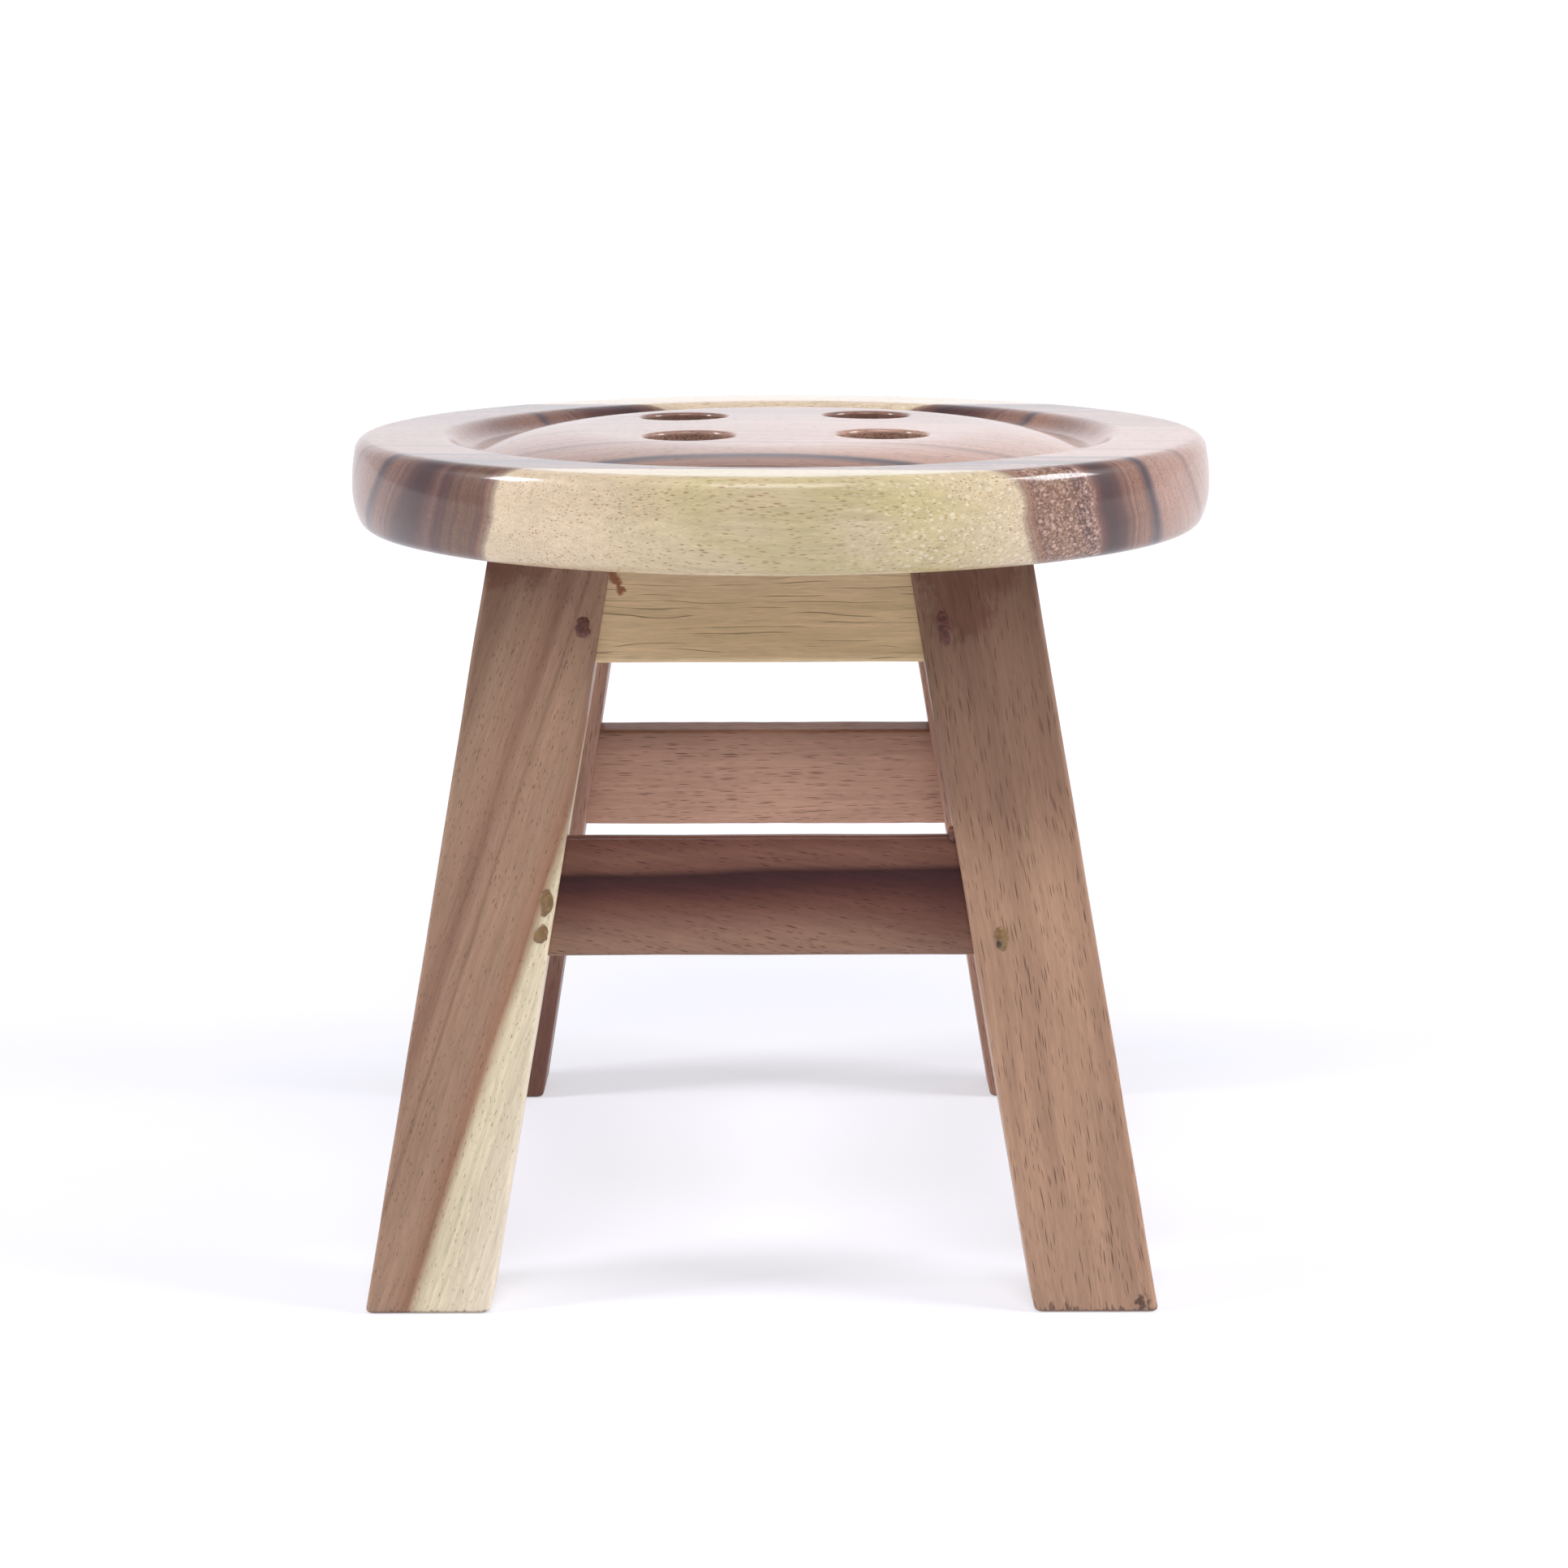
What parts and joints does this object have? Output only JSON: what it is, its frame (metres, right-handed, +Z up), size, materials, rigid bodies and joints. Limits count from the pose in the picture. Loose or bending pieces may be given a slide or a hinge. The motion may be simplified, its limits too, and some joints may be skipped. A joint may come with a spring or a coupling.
{
  "type": "stool",
  "caption": "Low round wooden stool: a turned seat like a giant sewing button, with a ring groove inside its rim and four blind button holes, on splayed legs tied by aprons and stretchers.",
  "frame": {"origin": "on the floor, under the middle of the seat", "axes": "+Z up; the front, as the picture sees it, faces -Y; +X to the right in the picture"},
  "size_m": [0.27, 0.27, 0.2522],
  "materials": {
    "seat_wood": "satin",
    "leg_wood": "satin",
    "pale_wood": "satin",
    "dark_wood": "satin",
    "wood_putty": "matte",
    "steel_wire": "satin",
    "screw_steel": "satin"
  },
  "bodies": {
    "root": {"seat": "seat_wood", "leg_front_left": "leg_wood", "leg_front_right": "leg_wood", "leg_back_left": "leg_wood", "leg_back_right": "leg_wood", "apron_front": "pale_wood", "apron_right": "pale_wood", "apron_back": "pale_wood", "apron_left": "pale_wood", "stretcher_front": "dark_wood", "stretcher_right": "dark_wood", "stretcher_back": "dark_wood", "stretcher_left": "dark_wood", "apron_joint_staples": "steel_wire", "apron_joint_putty": "wood_putty", "stretcher_joint_staples": "steel_wire", "stretcher_joint_putty": "wood_putty", "seat_screws": "screw_steel"}
  },
  "joints": []
}
